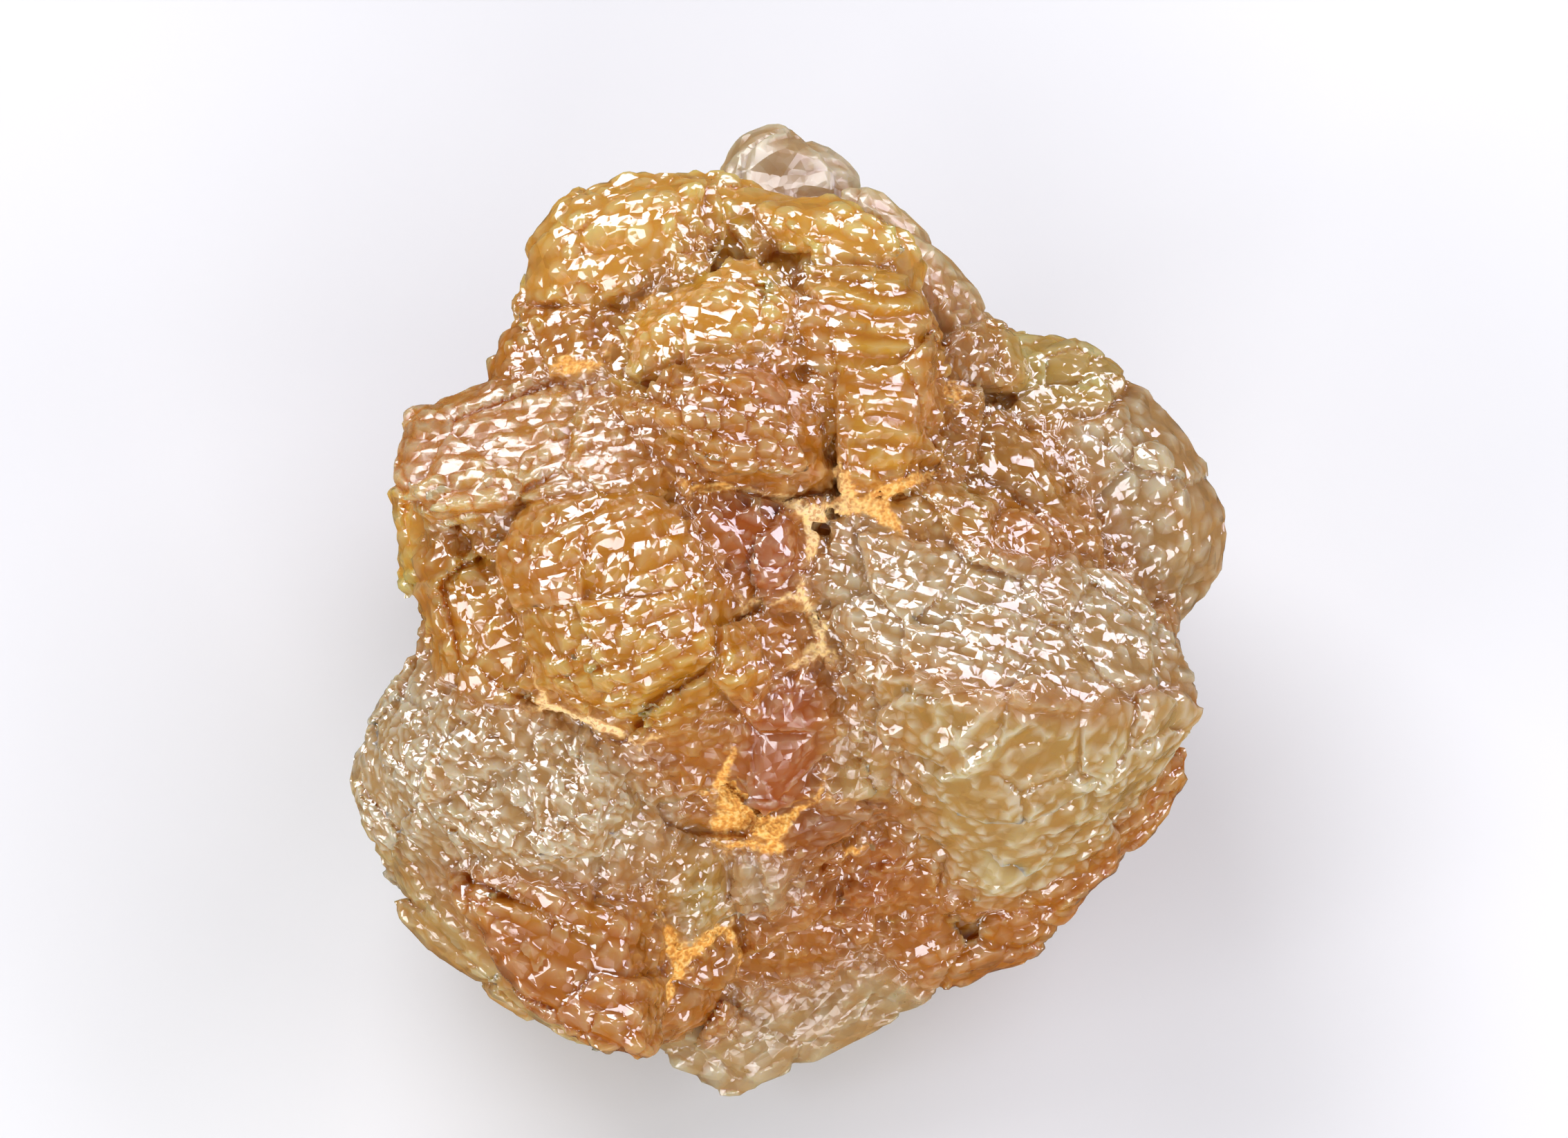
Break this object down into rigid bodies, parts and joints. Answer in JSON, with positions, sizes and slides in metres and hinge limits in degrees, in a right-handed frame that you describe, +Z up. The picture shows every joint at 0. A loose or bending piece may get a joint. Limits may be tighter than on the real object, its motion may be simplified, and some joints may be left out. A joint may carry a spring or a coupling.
{
  "type": "rough diamond",
  "caption": "Natural rough diamond: intergrown blocky golden-brown translucent crystals with stepped, knobbly growth faces, lying on the flats of its underside.",
  "frame": {"origin": "on the surface that the stone lies on, below the middle of its bounding box", "axes": "+Z up; +Y along the long way of the stone, towards its narrow top end; +X to the right when the face of the cluster is looked down on"},
  "size_m": [0.0136, 0.0146, 0.0103],
  "materials": {
    "diamond": "adamantine gloss, cloudy translucent, golden brown with olive and orange parts"
  },
  "bodies": {
    "root": {"rough_diamond": "diamond"}
  },
  "joints": []
}
